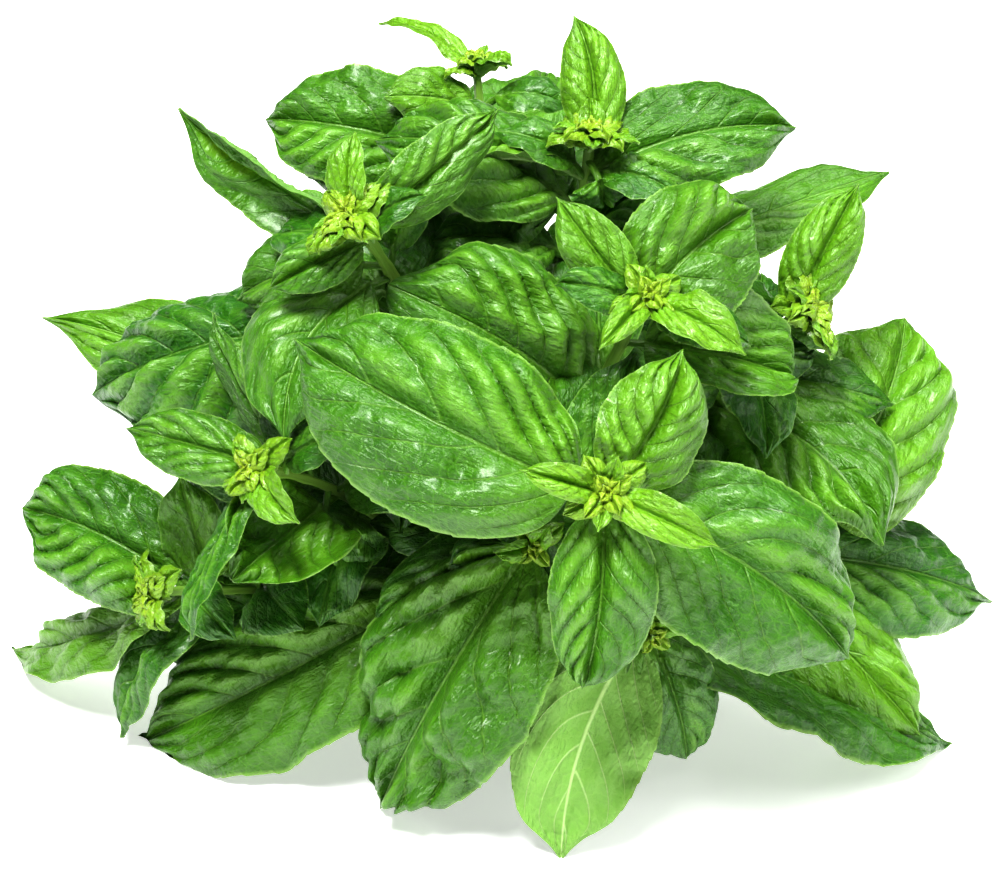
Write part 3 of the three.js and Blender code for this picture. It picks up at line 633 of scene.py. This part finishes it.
# %% The leaves' table
LEAVES = {
    "centre_left": dict(stem="centre", below=12, tip=(-48.5, 23, 56), width=49, face=(-.15, .2, 1),
        arch=9, sway=3, fold=28, droop=.55, stalk=6, blunt=.62, tone=0.16),
    "centre_right": dict(stem="centre", below=14, tip=(83, -53, 46), width=46, face=(.15, .1, 1),
        arch=9, sway=4, fold=28, droop=.55, stalk=8, blunt=.5, tone=0.12),
    "centre_up": dict(stem="centre", below=7, tip=(42, 20, 76), width=28, face=(.1, -.35, 1),
        arch=3, sway=-2, fold=30, stalk=3, blunt=.75, tone=0.5),
    "centre_down": dict(stem="centre", below=7, tip=(19, -59, 64), width=28, face=(-.05, .25, 1),
        arch=6, sway=2.5, fold=34, droop=.65, stalk=3, blunt=.7, tone=0.18),
    "upper_slim": dict(stem="upper", below=6, tip=(13, 56, 58), width=17, face=(-.2, 0, 1),
        arch=2, fold=36, stalk=3, blunt=.85, tone=0.5),
    "upper_broad": dict(stem="upper", below=9, tip=(60, 54, 46), width=37, face=(.05, .1, 1),
        arch=3, sway=2, fold=36, droop=.55, stalk=3, blunt=.5, tone=0.3),
    "upper_cup": dict(stem="upper", below=24, tip=(71, 14, 32), width=30, face=(0, .35, 1),
        arch=5, fold=38, droop=-.1, stalk=5, blunt=.6, tone=.3),
    "upper_dome": dict(stem="upper", below=60, tip=(-26.8, 36.1, 40), width=50, face=(-.1, .3, 1),
        arch=15, fold=26, droop=0.7, stalk=8, blunt=0.3, tone=0.2),
    "curl_left": dict(stem="upper_left", below=12, tip=(-78, 79, 30), width=21, face=(.45, -.75, .45),
        arch=-5, fold=48, droop=.45, stalk=4, blunt=.6, tone=0.2, sway=7, roll=0.4, ruffle=0.3),
    "lance": dict(stem="upper_left", below=4, tip=(0, 78, 44), width=19, face=(.15, -.4, 1),
        arch=3, fold=30, droop=.45, stalk=3, blunt=.8, tone=0.3),
    "small_dark": dict(stem="upper_left", below=9, tip=(-55, 35, 44), width=15, face=(.3, .4, 1),
        arch=2, fold=37, stalk=2, blunt=.7, tone=.2),
    "hanging": dict(stem="upper_left", below=24, tip=(-51.2, -1.9, 46), width=36, face=(-0.3, 0.35, 1),
        arch=6, sway=-7, fold=20, droop=0.5, stalk=5, blunt=0.9, tone=0.16, puff=0.4, ruffle=0.5),
    "hanging_side": dict(stem="upper_left", below=20, tip=(-64.5, 33.2, 20), width=25, face=(-.5, .2, 1),
        arch=6, fold=26, droop=.55, stalk=5, blunt=.6, tone=.2, sway=-2),
    # left_big: a tone below zero holds the leaf at the darkest, oldest green all over, partly its own colour
    # and partly painted shade for a leaf that hangs in shadow.
    "left_big": dict(stem="upper_left", below=48, tip=(-102.5, 10.3, -4), width=54, face=(-0.3, 0.5, 1),
        arch=14, fold=34, droop=1.15, stalk=18, blunt=0.4, tone=-0.25, sway=-1, puff=1.15),
    "upright": dict(stem="top", below=5, tip=(18, 103, 20), width=17, face=(.05, -.1, 1),
        arch=2, sway=-3, fold=26, stalk=3, blunt=.75, tone=.7),
    "top_right": dict(stem="top", below=11, tip=(73, 76, 14), width=32, face=(.1, .35, 1),
        arch=5, fold=30, droop=.55, stalk=3, blunt=0.6, tone=0.14, sway=3),
    "top_edge": dict(stem="top", below=11, tip=(-6, 66, 34), width=14, face=(0, 1, -.25),
        arch=3, fold=32, stalk=3, blunt=.7, tone=.6),
    "top_left": dict(stem="top", below=20, tip=(-31, 73, 12), width=36, face=(-.1, .6, .8),
        arch=10, fold=26, droop=.55, stalk=5, blunt=.6, tone=0.16),
    "top_far": dict(stem="top", below=48, tip=(100, 68, -24), width=30, face=(.1, .8, .6),
        arch=2, fold=32, droop=.55, stalk=24, blunt=.6, tone=.3, sway=1, ruffle=0.4, puff=0.5),
    "crown_low": dict(stem="crown", below=11, tip=(-29, 85, -2), width=20, face=(-.1, .4, 1),
        arch=3, fold=28, stalk=3, blunt=.5, tone=.5),
    "crown_curl": dict(stem="crown", below=26, tip=(-60, 81, -20), width=37, face=(-.3, .3, 1),
        arch=10, fold=36, droop=.5, stalk=14, blunt=.5, tone=0.2),
    "left_veined": dict(stem="left", below=7, tip=(-91, 2, 26), width=19, face=(-.1, .3, 1),
        arch=3, fold=32, droop=.55, stalk=3, blunt=.7, tone=0.22),
    "left_tall": dict(stem="left", below=18, tip=(-70, 30, 26), width=16, face=(-.75, -.1, .6),
        arch=3, fold=34, stalk=4, blunt=.7, tone=.2),
    "left_back": dict(stem="left", below=70, tip=(-119, 31, -34), width=36, face=(-.1, .4, 1),
        arch=6, fold=26, stalk=20, blunt=.8, tone=0.5, sway=-9),
    "round_left": dict(stem="low_left", below=8, tip=(-121.1, -18.2, -12), width=34, face=(-.2, .15, 1),
        arch=4, fold=26, droop=.45, stalk=3, blunt=0.3, tone=0.12, sway=-3, puff=1.3),
    "floor_left": dict(stem="low_left", below=12, tip=(-131, -57, -64), width=23, face=(0, .6, .8),
        arch=2, sway=8, fold=26, stalk=3, blunt=.9, tone=.45),
    "low_left_vein": dict(stem="low_left", below=16, tip=(-79, -10, 12), width=21, face=(-.2, 0, 1),
        arch=2, fold=36, stalk=4, blunt=.6, tone=.35),
    "low_left_blade": dict(stem="low_left", below=20, tip=(-97, -77, -18), width=31, face=(-.45, .6, .6),
        arch=4, fold=45, stalk=4, blunt=.7, tone=0.06, sway=-3, ruffle=0.5),
    "low_left_tall": dict(stem="left", below=9, tip=(-74.9, -49.3, 30), width=17, face=(-0.9, -0.1, 0.35),
        arch=5, fold=36, stalk=4, blunt=.7, tone=0.04),
    "front_left": dict(stem="low_front", below=30, tip=(-93, -79, -26), width=46, face=(-.2, .5, 1),
        arch=7, sway=7, fold=28, droop=.55, stalk=34, blunt=.6, tone=0.26),
    "front": dict(stem="low_front", below=4, tip=(-30, -93, 5), width=51, face=(-.1, .35, 1),
        arch=12, sway=1.5, fold=28, droop=.55, stalk=3, blunt=0.72, tone=0.18, puff=2),
    "front_curl": dict(stem="left", below=36, tip=(-64.3, -34.6, 36), width=34, face=(0, 0.15, 1),
        arch=2, fold=36, droop=0.2, stalk=8, blunt=.4, tone=.3, roll=0.35, nod=0, teeth=0),
    "front_inner": dict(stem="low_front", below=16, tip=(-31, -46, 26), width=22, face=(0, .3, 1),
        arch=3, fold=26, stalk=6, blunt=.6, tone=.1),
    "front_pale": dict(stem="low_right", below=4, tip=(15, -103, 22), width=34, face=(0, .1, -1),
        arch=-5, sway=5, fold=-10, droop=-.1, stalk=4, blunt=.65, tone=.6, puff=0.5, ruffle=0.5),
    "front_dark": dict(stem="low_right", below=4, tip=(46, -80, 10), width=26, face=(.2, .3, 1),
        arch=5, fold=36, droop=.55, stalk=3, blunt=.5, tone=.1),
    "right_under": dict(stem="low_right", below=18, tip=(116, -79, -22), width=38, face=(0, .8, .6),
        arch=2, sway=-5, fold=20, droop=.45, stalk=6, blunt=.6, tone=0.08),
    "right_round": dict(stem="right", below=8, tip=(104.2, 30.4, -26), width=42, face=(.2, .2, 1),
        arch=7, fold=22, droop=.5, stalk=14, blunt=0.32, tone=0.5, sway=-5),
    "right_point": dict(stem="right", below=8, tip=(128, -43, -34), width=38, face=(.1, .5, 1),
        arch=6, fold=26, droop=.55, stalk=4, blunt=1.1, tone=0.02, sway=0),
    "right_floor": dict(stem="right", below=22, tip=(105.7, -75.2, -6), width=34, face=(0, .5, 1),
        arch=8, sway=-1, fold=34, droop=0.8, stalk=10, blunt=.5, tone=0.5),
    "right_upright": dict(stem="upper_right", below=5, tip=(88, 62, 18), width=19, face=(-.15, -.2, 1),
        arch=2, fold=32, stalk=3, blunt=.75, tone=.55),
    "right_mid": dict(stem="upper_right", below=50, tip=(93.7, -26.6, 22), width=44, face=(.3, .4, 1),
        arch=10, sway=8, fold=28, droop=.55, stalk=8, blunt=.6, tone=0.26),
    "back_crown": dict(stem="crown", below=40, tip=(14, 98, -74), width=38, face=(0, 1.02, .2),
        arch=9, fold=26, droop=.55, stalk=8, blunt=.6, tone=.25),
    "back_crown_left": dict(stem="crown", below=62, tip=(-62, 60, -79), width=40, face=(-.3, 1.16, -.06),
        arch=9, fold=26, droop=.55, stalk=10, blunt=.6, tone=.25),
    "back_crown_right": dict(stem="crown", below=74, tip=(60, 53, -92), width=40, face=(.3, 1.16, -.06),
        arch=9, fold=26, droop=.55, stalk=10, blunt=.6, tone=.25),
    "back_left": dict(stem="low_left", below=92, tip=(-92, -27, -89), width=38, face=(-.4, .98, .29),
        arch=10, fold=26, droop=.55, stalk=14, blunt=.6, tone=.25),
    "back_right": dict(stem="right", below=90, tip=(96, -26, -95), width=38, face=(.4, .98, .29),
        arch=10, fold=26, droop=.55, stalk=14, blunt=.6, tone=.25),
    "back_low": dict(stem="top", below=128, tip=(-34, 27, -135), width=34, face=(0, .98, .29),
        arch=9, fold=26, droop=.55, stalk=8, blunt=.6, tone=.25),
}

# %% Growing the leaves
SHAPE = ("arch", "sway", "fold", "droop", "stalk", "blunt", "puff", "ruffle", "roll", "nod", "teeth")


def grow(name, leaf, number):
    """One leaf piece: its base is a point of its stem, and its grid is finer the wider it is."""
    base, _ = before_end(LINES[leaf["stem"]], leaf["below"])
    fine = float(np.clip(leaf["width"] / 40, 0.5, 1))
    skin = leaf_skin(base, spot(leaf["tip"]), unit(way(leaf["face"])), leaf["width"],
                     rows=int(150 * fine), columns=2 * int(26 * fine) + 1, seed=1.7 * number,
                     **{k: leaf[k] for k in SHAPE if k in leaf})
    skin["tone"] = leaf["tone"]
    return put_piece(name, [skin], LEAF, [name])


for number, (name, leaf) in enumerate(LEAVES.items()):
    grow(name, leaf, number)
print("leaves grown:", len(LEAVES))

# %% [markdown]
# ## The stems
#
# A basil stem is square with rounded edges and a shallow channel down each face, and it swells a
# little where a pair of leaves joins it. It is a profile carried along the line worked out above: each
# ring is the profile, turned so that one flat side faces down. The cut end is flat.

# %% Making the stems
NO_UNDERSIDE = 10**6  # more columns than any ring has, so that every face counts as upper side


def stem_skin(line, joints):
    """Each ring's radius is half the side over the fifth root of cosine and sine to the fifth power,
    which is a square with soft corners, less a shallow cosine channel, and larger by a bell at each
    joint; the last 70 mm taper. Rings stand across the line, which is evened out first."""
    steps = np.concatenate([[0], np.cumsum(np.linalg.norm(np.diff(line, axis=0), axis=1))])
    run = np.linspace(0, steps[-1], int(steps[-1] / 1.6))
    path = np.stack([np.interp(run, steps, line[:, k]) for k in range(3)], 1)
    path[2:-2] = (path[:-4] + path[1:-3] + path[2:-2] + path[3:-1] + path[4:]) / 5
    along = unit(np.gradient(path, axis=0))
    across = unit(np.cross(along, (0, 0, 1)))
    over = np.cross(across, along)
    turn = np.linspace(0, 2 * np.pi, 24, endpoint=False)[None, :]
    square = 1 / (np.abs(np.cos(turn)) ** 5 + np.abs(np.sin(turn)) ** 5) ** 0.2
    channel = 0.07 * np.cos(4 * turn) ** 2 * (np.cos(4 * turn) > 0)
    radius = STEM_SIDE / 2 * square * (1 - channel)
    left = (steps[-1] - run)[:, None]
    swell = 1 + 0.28 * sum(hump(left - d, 2.2) for d in joints)
    taper = mix(0.62, 1, smooth(0, 70, left))
    r = radius * swell * taper
    aside, above = (r * np.cos(turn))[..., None], (r * np.sin(turn))[..., None]
    rings = path[:, None] + aside * -across[:, None] + above * over[:, None]
    rings[..., 2] = np.maximum(rings[..., 2], 0)
    u, w = np.broadcast_arrays(run[:, None] / 10, turn * STEM_SIDE / 20)
    blade = np.stack(np.broadcast_arrays(run[:, None] / steps[-1], turn / (2 * np.pi)), -1)
    return close_skin(rings, path[0], path[-1], NO_UNDERSIDE, blade, np.stack([u, w], -1))


for name, line in LINES.items():
    joints = sorted({leaf["below"] for leaf in LEAVES.values() if leaf["stem"] == name})
    put_piece("stem_" + name, [stem_skin(line, joints)], STEM, ["stem_" + name])
print("stems grown:", len(LINES))

# %% [markdown]
# ## The growing tips
#
# At the end of every stem young leaves stand in crossed pairs, each pair smaller and more upright than
# the one before, down to a bud the size of a pinhead. The same leaf function makes them, small and
# strongly folded. The larger ones come from the stems' table; the tuft in the middle follows a rule:
# each pair is turned a quarter from the last, with a little wander, opens less and is shorter.

# %% Making the tufts
def young_leaf(end, on, turn, opening, length, width, sink, number, tone, **extra):
    """A leaf whose base is a little below the stem's end and whose tip leans out from the stem's
    direction by the opening, turned round the stem; its upper side faces inwards."""
    right = unit(RIGHT - on * (RIGHT @ on))
    up = np.cross(on, right)
    a, b = np.radians(turn), np.radians(opening)
    away = right * np.cos(a) + up * np.sin(a)
    base = end - on * sink
    tip = base + length * (np.cos(b) * on + np.sin(b) * away)
    fine = float(np.clip(width / 16, 0.25, 1))
    shape = dict(arch=0.12 * length, fold=30, droop=0.3, stalk=1.5, blunt=0.75, puff=1.1, ruffle=1.3)
    shape.update(extra)
    skin = leaf_skin(base, tip, on, width, rows=int(70 * fine) + 6, columns=2 * int(12 * fine) + 7,
                     seed=number, **shape)
    skin["tone"] = tone
    return skin


# For each stem: how many leaves its tuft has, and how long the lowest of them is.
TUFTS = dict(centre=(12, 12), upper=(12, 11), upper_left=(22, 14), top=(18, 13), crown=(12, 10),
             left=(14, 12), low_left=(22, 13), upper_right=(24, 15), right=(8, 9), low_front=(8, 9),
             low_right=(8, 9))
TUFT_TURN = 37

for name, stem in STEMS.items():
    end, on = before_end(LINES[name], 0.6)
    skins = [young_leaf(end, on, turn, opening, length, width, 1.2 + 0.5 * k, 3.1 * k, 0.8)
             for k, (turn, opening, length, width) in enumerate(stem["young"])]
    count, reach = TUFTS[name]
    for k in range(count):
        share = k / count
        turn = 90 * (k // 2) + 180 * (k % 2) + TUFT_TURN + 11 * np.sin(5.0 * k)
        opening, length, width = mix(82, 8, share), mix(reach, 3, share), mix(0.68 * reach, 2.4, share)
        skins.append(young_leaf(end, on, turn, opening, length, width, mix(1.5, -1.5, share), 2.3 * k + 1,
                                mix(0.85, 1.0, share), fold=34, droop=0.7, blunt=0.55, stalk=0.5,
                                nod=0.12 * length))
    put_piece("tip_" + name, skins, LEAF)
print("growing tips:", len(STEMS))

# %% [markdown]
# ## The leaves inside
#
# Behind the outer leaves a bunch is full of more leaves, and the dark green between the bright ones is
# what gives it depth. They grow in opposite pairs down every stem. A rule places them, and a place is
# kept only where it stays well under the outer dome, so that none of them pokes through.

# %% Where an inner leaf may stand
LEVELS_BELOW_TIP = (11, 22, 34, 48, 62, 78, 96, 114)
DOME_HALF_WIDTH, DOME_HALF_HEIGHT, DOME_DEPTH = 112, 96, 80
HINDMOST = HEAD_CENTRE[1] + 62
LOWEST_TIP = 6


def hidden(tip, below):
    """True where a tip stays inside half an ellipsoid, the dome, by 24 mm, or by 8 mm just below a
    growing tip, and off the floor."""
    right, up, out = np.array([RIGHT, UP_FACE, OUT_OF_FACE]) @ (tip - HEAD_CENTRE)
    room = 1 - (right / DOME_HALF_WIDTH) ** 2 - (up / DOME_HALF_HEIGHT) ** 2
    shell = DOME_DEPTH * np.sqrt(max(room, 0)) - (8 if below < 15 else 24)
    return room >= 0.06 and out <= shell and tip[2] >= LOWEST_TIP


print("is the middle of the dome hidden:", hidden(HEAD_CENTRE, 50))

# %% Making the inner leaves
chance = np.random.default_rng(7)
inner = []
for name, line in LINES.items():
    for level, below in enumerate(LEVELS_BELOW_TIP):
        end, on = before_end(line, below)
        if end[1] > HINDMOST:
            continue
        for half_turn in (0, 180):
            turn = np.radians(90 * level + half_turn + chance.uniform(-25, 25))
            length = chance.uniform(34, 50) * min(1, 0.3 + below / 40)
            opening = np.radians(chance.uniform(60, 95))
            right = unit(RIGHT - on * (RIGHT @ on))
            away = right * np.cos(turn) + np.cross(on, right) * np.sin(turn)
            tip = end + length * (np.cos(opening) * on + np.sin(opening) * away)
            if not hidden(tip, below):
                continue
            facing = unit(0.6 * on + 0.5 * OUT_OF_FACE + 0.4 * np.array([0, 0, 1.0]))
            skin = leaf_skin(end, tip, facing, length * chance.uniform(0.5, 0.6), rows=40, columns=15,
                             arch=chance.uniform(2, 7), fold=16, droop=0.3, stalk=5, blunt=0.65,
                             seed=chance.uniform(0, 9))
            skin["tone"] = chance.uniform(0, 0.12)
            inner.append(skin)
print("inner leaves placed by the rule:", len(inner))

# %% Filling the gaps that the rule leaves
# Each row is the stem, how far below its end the leaf grows, the tip's place and the leaf's width.
FILLERS = [
    ("upper_right", 16, (64.9, 40.6, 8), 18), ("upper_right", 34, (79.5, 22.8, 0), 22),
    ("crown", 50, (-44, 46, -6), 40), ("left", 30, (-44, -34, 8), 34),
    ("top", 70, (-40, 30, -8), 42), ("crown", 90, (-46, 14, -22), 46),
    ("low_left", 70, (-70, -62, -30), 36), ("upper_right", 30, (66, 36, 4), 24),
    ("top", 30, (38, 64, -2), 32), ("top", 24, (4, 58, 6), 32),
    ("upper_left", 40, (-14, 50, 14), 32), ("low_left", 30, (-62, -26, -8), 30),
    ("low_left", 44, (-88, -56, -24), 26), ("left", 50, (-40, 20, 8), 34),
    ("upper_right", 40, (76, 10, -10), 34), ("low_front", 60, (-60, -50, -10), 34),
    ("top", 40, (14, 44, 4), 30), ("upper_right", 60, (70, 36, -30), 34),
    ("top", 6, (25, 57, 24), 17),
]
for stem, below, tip, width in FILLERS:
    base, _ = before_end(LINES[stem], below)
    skin = leaf_skin(base, spot(tip), unit(way((0, 0.4, 1))), width, rows=64, columns=23, arch=5,
                     stalk=5, blunt=0.6, seed=below / 7)
    skin["tone"] = 0.06
    inner.append(skin)
for first, letter in enumerate("abc"):
    put_piece("inner_leaves_" + letter, inner[first::3], LEAF)
print("inner leaves:", len(inner))

# %% [markdown]
# ## Floor, light and camera
#
# The bunch is shown as in a catalogue: on a plain pale floor, in soft light from large lamps, seen from
# the front and a little above.

# %% Floor
FLOOR_HALF_SIDE = 6

corners = FLOOR_HALF_SIDE * np.array([(-1, -1, 0), (1, -1, 0), (1, 1, 0), (-1, 1, 0)])
mesh = bpy.data.meshes.new("floor")
mesh.from_pydata(corners.tolist(), [], [(0, 1, 2, 3)])
mesh.materials.append(Recipe("white paper").finish(
    Base_Color=(0.9, 0.9, 0.9, 1), Roughness=0.7, Specular_IOR_Level=0.2,
    Emission_Color=(1, 1, 1, 1), Emission_Strength=0.6))
floor = bpy.data.objects.new("floor", mesh)
bpy.context.scene.collection.objects.link(floor)
print("floor side:", 2 * FLOOR_HALF_SIDE, "m")

# %% Room light and contrast
world = bpy.data.worlds.new("soft room")
world.use_nodes = True
world.node_tree.nodes["Background"].inputs["Color"].default_value = (1, 1, 1, 1)
world.node_tree.nodes["Background"].inputs["Strength"].default_value = 0.12
bpy.context.scene.world = world
bpy.context.scene.view_settings.view_transform = "Standard"
bpy.context.scene.view_settings.gamma = 0.77

# %% Lamps and camera
from mathutils import Vector


def soft_lamp(name, place, aim, size, watts):
    """A square lamp that faces its aim."""
    data = bpy.data.lights.new(name, "AREA")
    data.shape, data.size, data.energy = "SQUARE", size, watts
    lamp = bpy.data.objects.new(name, data)
    lamp.location = place
    lamp.rotation_euler = (Vector(aim) - Vector(place)).to_track_quat("-Z", "Y").to_euler()
    bpy.context.scene.collection.objects.link(lamp)


middle_of_dome = HEAD_CENTRE * MM
soft_lamp("key lamp", (-0.35, -0.8, 2.0), middle_of_dome, 0.6, 78)
soft_lamp("overhead lamp", (0.2, 0.3, 1.9), middle_of_dome, 1.8, 37)
soft_lamp("side lamp", (1.5, -0.7, 1.4), middle_of_dome, 0.9, 16)

VIEW_DISTANCE = 900
VIEW_WIDTH = 250

camera = bpy.data.objects.new("camera", bpy.data.cameras.new("camera"))
camera.data.sensor_width = 36
camera.data.lens = camera.data.sensor_width * VIEW_DISTANCE / VIEW_WIDTH
camera.location = (HEAD_CENTRE + VIEW_DISTANCE * OUT_OF_FACE) * MM
camera.rotation_euler = (-Vector(OUT_OF_FACE)).to_track_quat("-Z", "Y").to_euler()
bpy.context.scene.collection.objects.link(camera)
bpy.context.scene.camera = camera
